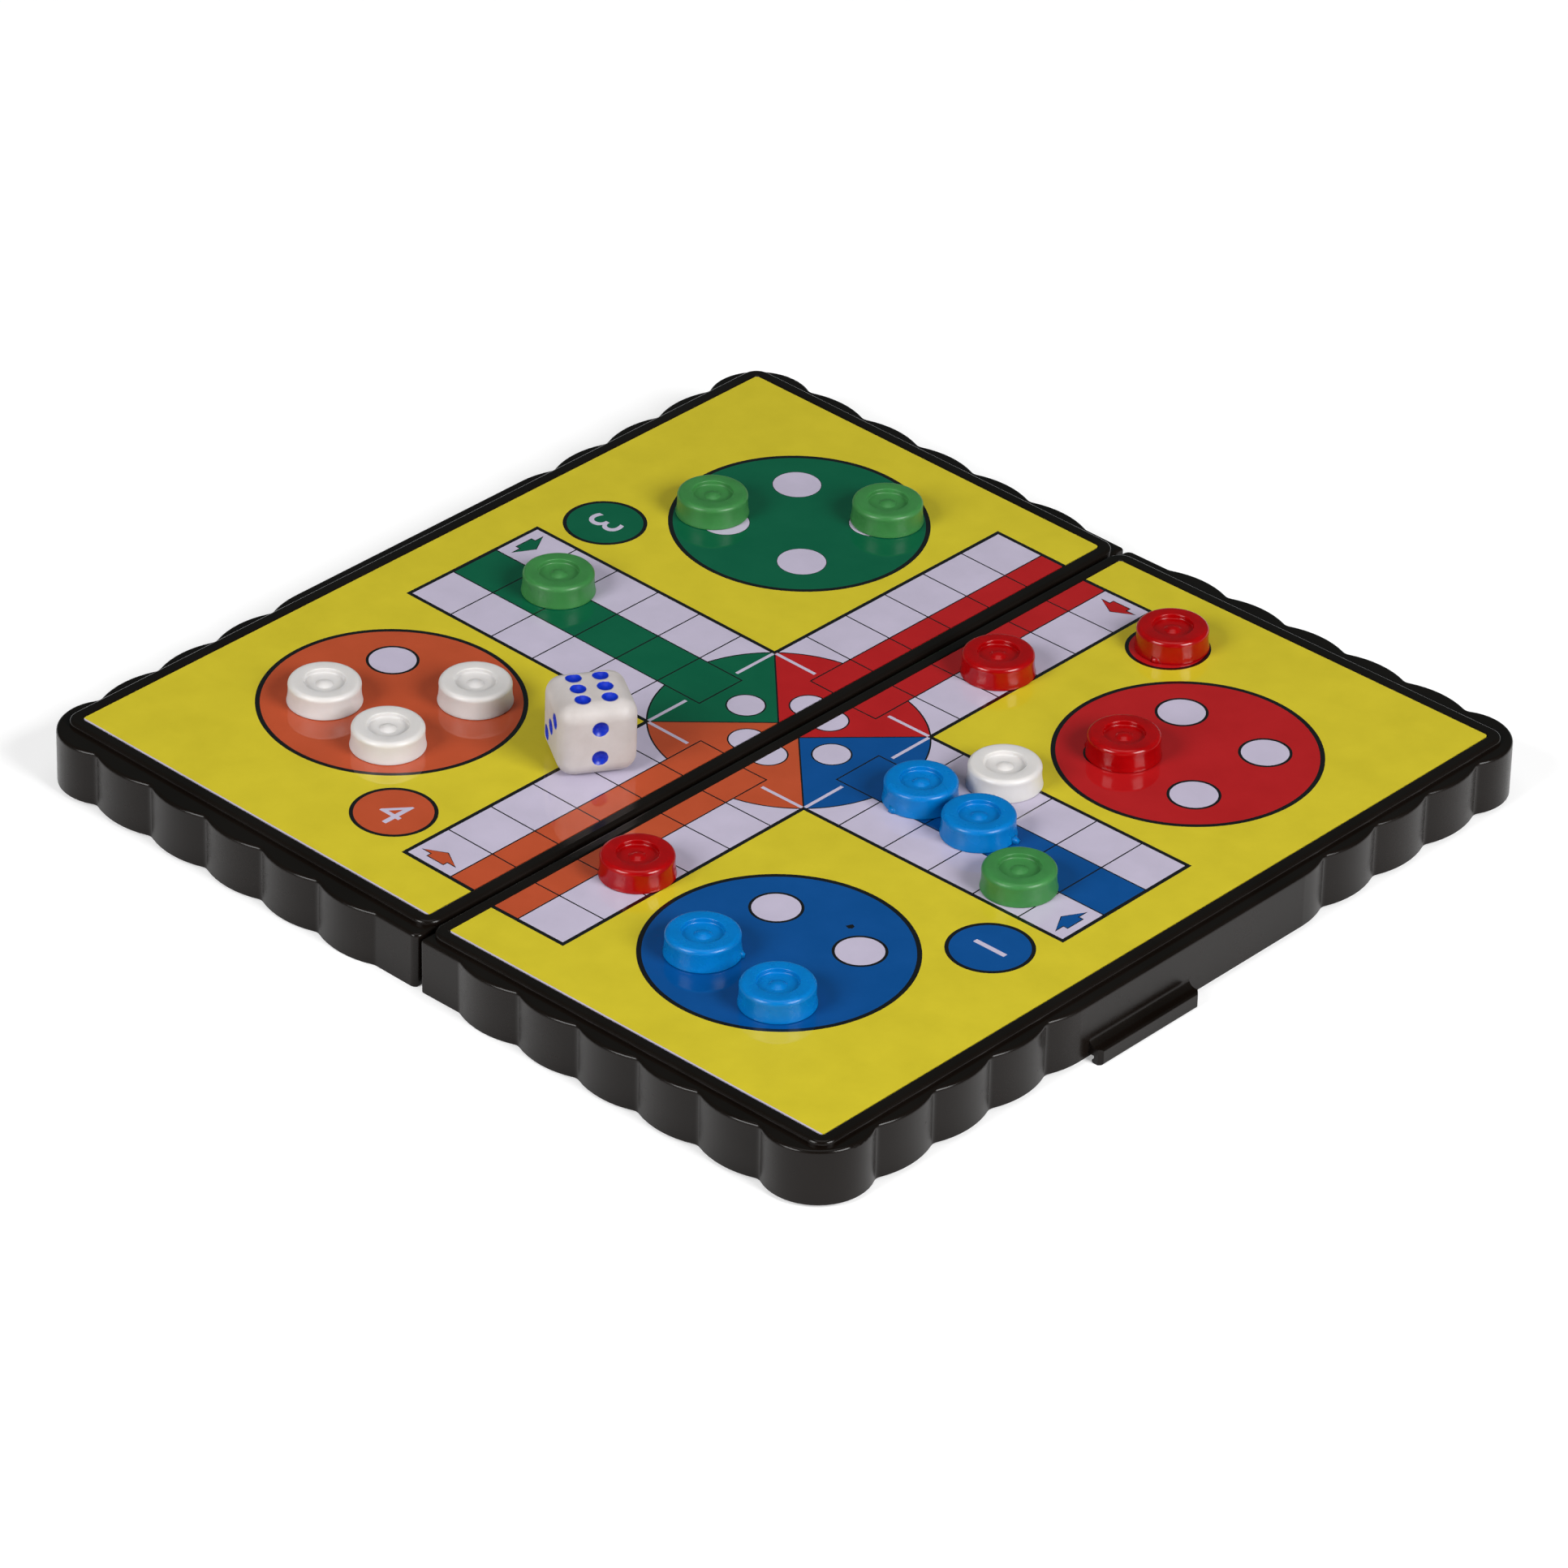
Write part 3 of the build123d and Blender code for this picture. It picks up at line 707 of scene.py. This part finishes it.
counter_finishes = {
    "green": counter_plastic("green_polythene", seen(58, 124, 64), {
        "Roughness": 0.34, "Subsurface Weight": 0.25, "Subsurface Radius": (0.4, 1.0, 0.4),
        "Subsurface Scale": 0.0012, "Specular IOR Level": 0.35,
    }, cloud_tone=0.84, relief=0.0012 * MM),
    "white": counter_plastic("white_polythene", seen(205, 202, 200), {
        "Roughness": 0.36, "Subsurface Weight": 0.3, "Subsurface Radius": (1.0, 0.9, 0.75),
        "Subsurface Scale": 0.0012, "Specular IOR Level": 0.5,
    }, cloud_tone=0.95, relief=0.0012 * MM),
    "red": counter_plastic("red_polystyrene", seen(156, 1, 4), {
        "Roughness": 0.16, "Subsurface Weight": 0.3, "Subsurface Radius": (1.0, 0.1, 0.1),
        "Subsurface Scale": 0.0016, "Specular IOR Level": 0.35,
    }, cloud_tone=0.8, relief=0.0006 * MM),
    "blue": counter_plastic("blue_polythene", seen(0, 111, 183), {
        "Roughness": 0.26, "Subsurface Weight": 0.15, "Subsurface Radius": (0.15, 0.5, 1.0),
        "Subsurface Scale": 0.0010, "Specular IOR Level": 0.28,
    }, cloud_tone=0.88, relief=0.0008 * MM),
}


def ferrite_finish():
    """Pressed and fired magnet: dark grey, dull and grainy."""
    material, tree, shader, space = new_finish("ferrite", {"Specular IOR Level": 0.4})
    grain = speckle(tree, space, ferrite_grain, detail=4.0)
    tone = blended(tree, spread(tree, grain, 0, 1), seen(52, 51, 52), seen(88, 86, 86))
    tree.links.new(tone, shader.inputs["Base Color"])
    tree.links.new(spread(tree, grain, 0.5, 0.75), shader.inputs["Roughness"])
    raised(tree, shader, grain, ferrite_relief)
    return material


def turned_counter(colour, number, place):
    """One counter: its section spun round, with its gate stub, on its own body."""
    mesh = bmesh.new()
    points = [mesh.verts.new((radius, 0, height)) for radius, height in counter_profile()]
    edges = [mesh.edges.new(pair) for pair in zip(points, points[1:])]
    bmesh.ops.spin(
        mesh, geom=points + edges, cent=(0, 0, 0), axis=(0, 0, 1), angle=2 * pi, steps=turning_steps)
    bmesh.ops.remove_doubles(mesh, verts=mesh.verts, dist=seam_merge)
    bmesh.ops.recalc_face_normals(mesh, faces=mesh.faces)
    stand, side = board_place(place)
    if (colour, number) in gate_stubs:
        angle, reach = gate_stubs[(colour, number)]
        gate_stub(mesh, radians(angle) - (pi if side == "west" else 0), reach)
    for face in mesh.faces:
        face.smooth = True
    bmesh.ops.transform(mesh, matrix=stand, verts=mesh.verts)
    piece = new_piece(f"{colour}_counter_{number}", mesh, [counter_finishes[colour]])
    body = f"counter_{colour}_{number}"
    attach(piece, body)
    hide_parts(body)


ferrite = ferrite_finish()
for colour, places in counter_places.items():
    for number, place in enumerate(places, start=1):
        turned_counter(colour, number, place)
        finish_node(f"magnet_{colour}_{number}", ferrite)

# Die. A tumbled ivory-white cube of urea resin with heavily rounded edges. Its pips are shallow
# round dimples filled with royal blue enamel, and opposite faces add up to seven.
die_size = 10.0
die_round = 2.2
die_turn = radians(-32.3)
die_place = (-12.7, -21.4)
die_divisions = 96               # of each face, each way
die_sink = 0.005
pip_radius = 1.03
pip_depth = 0.45
pip_spread = 2.05
six_long = 2.49
six_short = 1.68
resin_cloud = 3.5 * MM
resin_grain = 0.35 * MM
resin_relief = 0.006 * MM
resin_roughness = 0.48
enamel_roughness = 0.32
enamel_wobble = 0.02             # of the enamel's edge, in millimetres
paint_attribute = "enamel"


def die_faces():
    """Each face as its outward, first and second directions with the places of its pips."""
    far = pip_spread
    diagonal = [(-far, -far), (0, 0), (far, far)]
    corners = [(-far, -far), (far, -far), (-far, far), (far, far)]
    six = [(x, y) for x in (-six_long, 0, six_long) for y in (-six_short, six_short)]
    return [
        (Vector((0, 0, 1)), Vector((1, 0, 0)), Vector((0, 1, 0)), six),
        (Vector((0, 0, -1)), Vector((1, 0, 0)), Vector((0, -1, 0)), [(0, 0)]),
        (Vector((1, 0, 0)), Vector((0, 1, 0)), Vector((0, 0, 1)), [(0, -far), (0, far)]),
        (Vector((-1, 0, 0)), Vector((0, 1, 0)), Vector((0, 0, -1)), corners + [(0, 0)]),
        (Vector((0, -1, 0)), Vector((1, 0, 0)), Vector((0, 0, 1)), diagonal),
        (Vector((0, 1, 0)), Vector((1, 0, 0)), Vector((0, 0, -1)), corners),
    ]


def rounded_point(point):
    """A point of the square cube's surface, moved onto the rounded cube."""
    core = die_size / 2 - die_round
    inner = Vector([max(-core, min(core, part)) for part in point])
    return inner + (point - inner).normalized() * die_round


def dimpled_point(point, outward, first, second, pips):
    """A point of the rounded cube, sunk where a pip is, and how far inside the pip's ball it lies."""
    ball = (pip_radius**2 + pip_depth**2) / (2 * pip_depth)
    centre = die_size / 2 + ball - pip_depth
    height, u, v = point.dot(outward), point.dot(first), point.dot(second)
    inside = -1.0
    lowest = height
    for pip_u, pip_v in pips:
        off = hypot(u - pip_u, v - pip_v)
        inside = max(inside, ball - hypot(off, height - centre))
        if off < ball:
            lowest = min(lowest, centre - sqrt(ball**2 - off**2))
    return point + outward * (lowest - height), inside


def carved_die():
    """The die as one closed mesh with its dimples, and how far inside a pip's ball each point lies."""
    mesh = bmesh.new()
    paint = mesh.verts.layers.float.new(paint_attribute)
    for outward, first, second, pips in die_faces():
        grid = []
        for row in range(die_divisions + 1):
            grid.append([])
            for column in range(die_divisions + 1):
                across = (column / die_divisions - 0.5) * die_size
                along = (row / die_divisions - 0.5) * die_size
                point = rounded_point(outward * die_size / 2 + first * across + second * along)
                sunk, inside = dimpled_point(point, outward, first, second, pips)
                vert = mesh.verts.new(sunk)
                vert[paint] = inside
                grid[row].append(vert)
        for low, high in zip(grid, grid[1:]):
            for column in range(die_divisions):
                mesh.faces.new((low[column], low[column + 1], high[column + 1], high[column]))
    bmesh.ops.remove_doubles(mesh, verts=mesh.verts, dist=seam_merge)
    bmesh.ops.recalc_face_normals(mesh, faces=mesh.faces)
    for face in mesh.faces:
        face.smooth = True
    return mesh


def resin_finish():
    """Ivory resin, clouded and a little grubby in its grain, with blue enamel in the dimples."""
    material, tree, shader, space = new_finish("die_resin", {
        "Subsurface Weight": 0.25, "Subsurface Radius": (1.0, 0.9, 0.75), "Subsurface Scale": 0.0015,
        "Specular IOR Level": 0.35,
    })
    cloud = speckle(tree, space, resin_cloud, detail=4.0)
    grain = speckle(tree, space, resin_grain, detail=3.0)
    tone = blended(tree, spread(tree, cloud, 0, 1), seen(178, 171, 168), seen(189, 183, 181))
    dirt = spread(tree, grain, 0, 0.35, 0.72, 0.8)
    worn = blended(tree, dirt, tone, seen(150, 146, 140))
    inside = add_node(tree, "ShaderNodeAttribute", attribute_name=paint_attribute)
    wobble = spread(tree, grain, -enamel_wobble, enamel_wobble)
    painted = spread(tree, worked_out(tree, "ADD", inside.outputs["Fac"], wobble), 0, 1, -0.01, 0.03)
    enamel = blended(tree, spread(tree, grain, 0, 1), seen(6, 30, 150), seen(12, 48, 180))
    tree.links.new(blended(tree, painted, worn, enamel), shader.inputs["Base Color"])
    rough = spread(tree, painted, resin_roughness, enamel_roughness, 0, 1)
    tree.links.new(rough, shader.inputs["Roughness"])
    raised(tree, shader, grain, resin_relief)
    return material


die_mesh = carved_die()
die_stand, _ = board_place(die_place, die_turn)
die_lift = Matrix.Translation((0, 0, die_size / 2 - die_sink))
bmesh.ops.transform(die_mesh, matrix=die_stand @ die_lift, verts=die_mesh.verts)
die_piece = new_piece("tumbled_die", die_mesh, [resin_finish()])
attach(die_piece, "die")
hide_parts("die")

# Table. A white painted top that the open board lies on. Away from the board it fades to the plain
# white of the room, and from below it is clear.
table_reach = 4.0                # middle to each side, in metres
table_colour = (0.8, 0.8, 0.8, 1)
table_lift = 0.35                # share of white that the table shows without any lamp
fade_begins = 0.25               # from the middle of the board, in metres
fade_ends = 0.6


def table_finish():
    """White paint that fades to plain white away from the board, and is clear from below."""
    material = bpy.data.materials.new("table_white")
    material.use_nodes = True
    tree = material.node_tree
    tree.nodes.clear()
    paint = add_node(tree, "ShaderNodeBsdfDiffuse", {"Color": table_colour})
    rays = add_node(tree, "ShaderNodeLightPath").outputs
    space = add_node(tree, "ShaderNodeTexCoord")
    away = add_node(tree, "ShaderNodeVectorMath", {0: space.outputs["Object"]}, operation="LENGTH")
    fade = spread(tree, away.outputs["Value"], table_lift, 1.0, fade_begins, fade_ends)
    shown = worked_out(tree, "MULTIPLY", rays["Is Camera Ray"], fade)
    mirrored = worked_out(tree, "MAXIMUM", rays["Is Glossy Ray"], rays["Is Transmission Ray"])
    strength = worked_out(tree, "MULTIPLY_ADD", mirrored, table_lift, shown)
    glow = add_node(tree, "ShaderNodeEmission", {"Strength": strength})
    both = add_node(tree, "ShaderNodeAddShader", {0: paint.outputs["BSDF"], 1: glow.outputs["Emission"]})
    facing = add_node(tree, "ShaderNodeNewGeometry")
    clear = add_node(tree, "ShaderNodeBsdfTransparent")
    surface = add_node(tree, "ShaderNodeMixShader", {
        0: facing.outputs["Backfacing"], 1: both.outputs["Shader"], 2: clear.outputs["BSDF"],
    })
    add_node(tree, "ShaderNodeOutputMaterial", {"Surface": surface.outputs["Shader"]})
    return material


table_corners = [(x, y, 0) for x, y in block(-table_reach, -table_reach, table_reach, table_reach)]
table_mesh = bpy.data.meshes.new("table")
table_mesh.from_pydata(table_corners, [], [(0, 1, 2, 3)])
table_mesh.materials.append(table_finish())
table = bpy.data.objects.new("table", table_mesh)
bpy.context.collection.objects.link(table)

# Room. It is white where the camera sees it, dim and cool where the glossy film mirrors it, and nearly
# dark for the light that falls on the board.
room_light = (0.02, 0.02, 0.02, 1)
room_mirrored = (0.06, 0.1, 0.105, 1)
room_shown = (1, 1, 1, 1)
room = bpy.data.worlds.new("room")
bpy.context.scene.world = room
room.use_nodes = True
room_tree = room.node_tree
room_rays = add_node(room_tree, "ShaderNodeLightPath").outputs
room_unseen = blended(room_tree, room_rays["Is Glossy Ray"], room_light, room_mirrored)
room_colour = blended(room_tree, room_rays["Is Camera Ray"], room_unseen, room_shown)
room_tree.links.new(room_colour, room_tree.nodes["Background"].inputs["Color"])

# Camera. A long lens, a metre from the board, looks down on it past one corner. Its place, turn and
# principal point were fitted to the corners and lines of the print.
camera_turn = 0.73446            # about the vertical, from -Y towards +X
camera_height = 0.56951          # angle above the table
camera_roll = 0.0293
camera_distance = 0.95813
aim = Vector((0.010212, -0.006959, 0.007996))
frame_pixels = 1932
focal_pixels = 9760.25
sensor = 36.0
principal = (997.04, 966.99)


def direction(turn, height):
    """Unit direction from the board towards a place round the table and above it."""
    return Vector((sin(turn) * cos(height), -cos(turn) * cos(height), sin(height)))


outward = direction(camera_turn, camera_height)
level = (-outward).cross(Vector((0, 0, 1))).normalized()
upright = level.cross(-outward)
camera_x = level * cos(camera_roll) + upright * sin(camera_roll)
camera_y = upright * cos(camera_roll) - level * sin(camera_roll)
camera_data = bpy.data.cameras.new("camera")
camera_data.sensor_width = sensor
camera_data.lens = focal_pixels / frame_pixels * sensor
camera_data.shift_x = (frame_pixels / 2 - principal[0]) / frame_pixels
camera_data.shift_y = (principal[1] - frame_pixels / 2) / frame_pixels
camera = bpy.data.objects.new("camera", camera_data)
camera_axes = Matrix((camera_x, camera_y, outward)).transposed().to_4x4()
camera.matrix_world = Matrix.Translation(aim + outward * camera_distance) @ camera_axes
bpy.context.collection.objects.link(camera)
bpy.context.scene.camera = camera

# Lamps. A large square soft lamp stands to each side of the camera, and a weaker one hangs overhead.
# Each has its turn from the camera and its height in degrees, its distance, its width and its watts.
lamps = {
    "left_lamp": (-50, 32, 1.1, 0.5, 9.6),
    "right_lamp": (50, 32, 1.1, 0.5, 13.0),
    "top_lamp": (0, 88, 1.3, 0.9, 2.8),
}


def soft_lamp(name, turn, height, distance, width, power):
    """Square soft lamp that faces the board."""
    lamp = bpy.data.lights.new(name, "AREA")
    lamp.size = width
    lamp.energy = power
    holder = bpy.data.objects.new(name, lamp)
    towards = direction(turn, height)
    holder.location = towards * distance
    holder.rotation_euler = towards.to_track_quat("Z", "Y").to_euler()
    bpy.context.collection.objects.link(holder)


for name, (turn, height, distance, width, power) in lamps.items():
    soft_lamp(name, camera_turn + radians(turn), radians(height), distance, width, power)

bpy.context.scene.view_settings.view_transform = "Standard"
